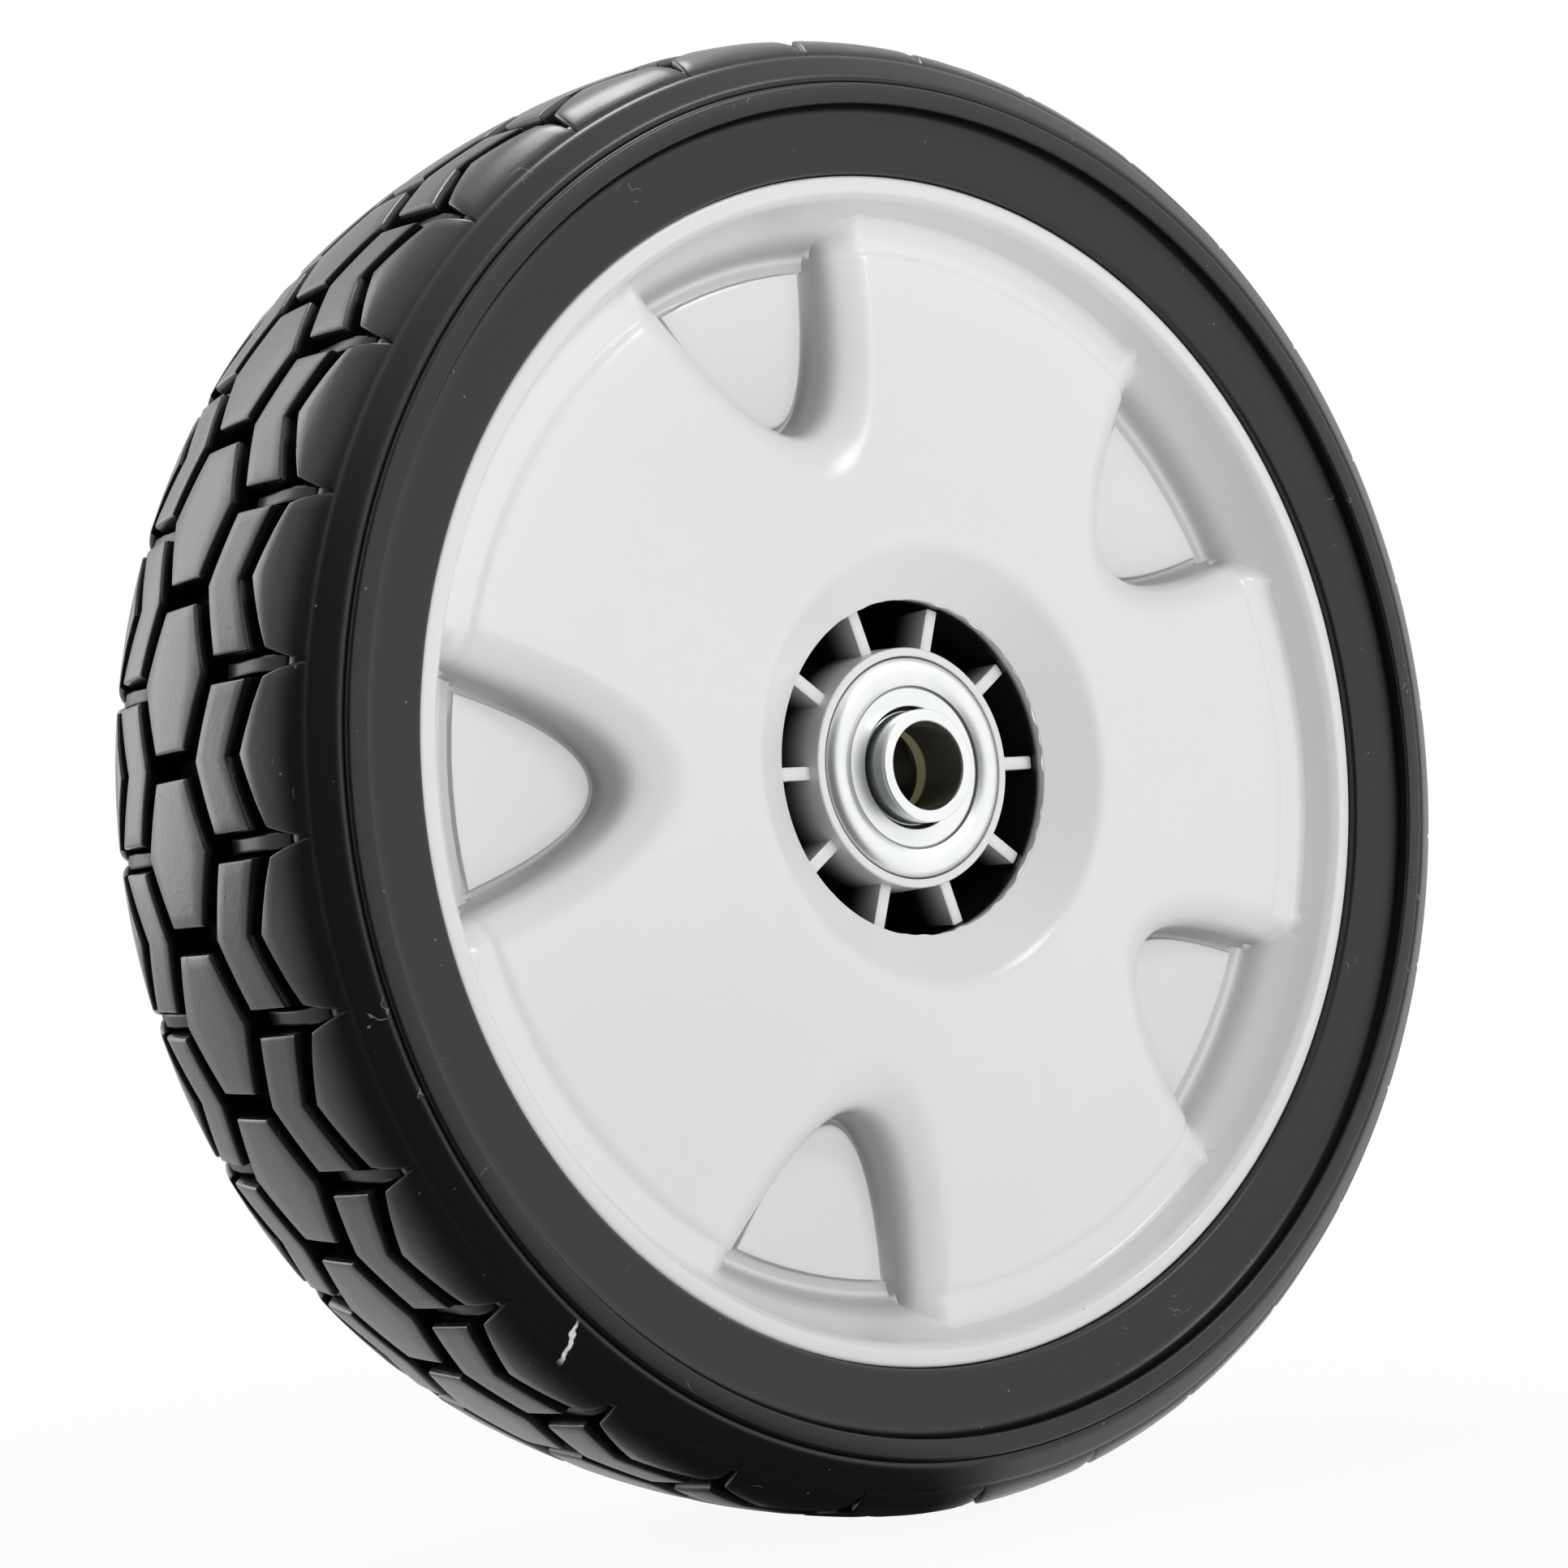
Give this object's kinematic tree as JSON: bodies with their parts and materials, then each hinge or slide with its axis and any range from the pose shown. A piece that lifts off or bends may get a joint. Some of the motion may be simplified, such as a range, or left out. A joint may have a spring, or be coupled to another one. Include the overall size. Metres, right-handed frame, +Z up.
{
  "type": "lawn mower wheel",
  "caption": "Small solid-tyred mower wheel: hexagon and chevron block tread on a one-piece pocketed plastic rim, turning on shielded ball bearings with a through axle bore.",
  "frame": {"origin": "the wheel's centre, on the axle line and midway across the tread", "axes": "the wheel spins about +Y; the face with the pockets looks along -Y; +Z is up"},
  "size_m": [0.203, 0.056, 0.203],
  "materials": {
    "tyre_rubber": "satin moulded black rubber",
    "rim_plastic": "light grey-white moulded plastic",
    "yellow_zinc": "yellow zinc plated steel tube",
    "bearing_zinc": "bright zinc plated pressed steel",
    "ball_steel": "polished steel",
    "cage_plastic": "moulded nylon"
  },
  "bodies": {
    "axle_set": {"spacer_sleeve": "yellow_zinc", "front_inner_race": "bearing_zinc", "rear_inner_race": "bearing_zinc"},
    "wheel": {"tyre": "tyre_rubber", "rim": "rim_plastic", "front_outer_race": "bearing_zinc", "rear_outer_race": "bearing_zinc", "front_shield": "bearing_zinc", "rear_shield": "bearing_zinc"},
    "front_ball_set": {"front_ball_1": "ball_steel", "front_ball_2": "ball_steel", "front_ball_3": "ball_steel", "front_ball_4": "ball_steel", "front_ball_5": "ball_steel", "front_ball_6": "ball_steel", "front_ball_7": "ball_steel", "front_cage": "cage_plastic"},
    "rear_ball_set": {"rear_ball_1": "ball_steel", "rear_ball_2": "ball_steel", "rear_ball_3": "ball_steel", "rear_ball_4": "ball_steel", "rear_ball_5": "ball_steel", "rear_ball_6": "ball_steel", "rear_ball_7": "ball_steel", "rear_cage": "cage_plastic"}
  },
  "joints": [
    {"name": "wheel_spin", "type": "hinge", "parent": "axle_set", "child": "wheel", "pos_m": [0, 0, 0], "axis": [0, 1, 0], "continuous": true},
    {"name": "front_ball_orbit", "type": "hinge", "parent": "axle_set", "child": "front_ball_set", "pos_m": [0, 0, 0], "axis": [0, 1, 0], "continuous": true},
    {"name": "rear_ball_orbit", "type": "hinge", "parent": "axle_set", "child": "rear_ball_set", "pos_m": [0, 0, 0], "axis": [0, 1, 0], "continuous": true}
  ],
  "couplings": [
    {"joint": "front_ball_orbit", "follows": "wheel_spin", "ratio": 0.6261},
    {"joint": "rear_ball_orbit", "follows": "wheel_spin", "ratio": 0.6261}
  ]
}
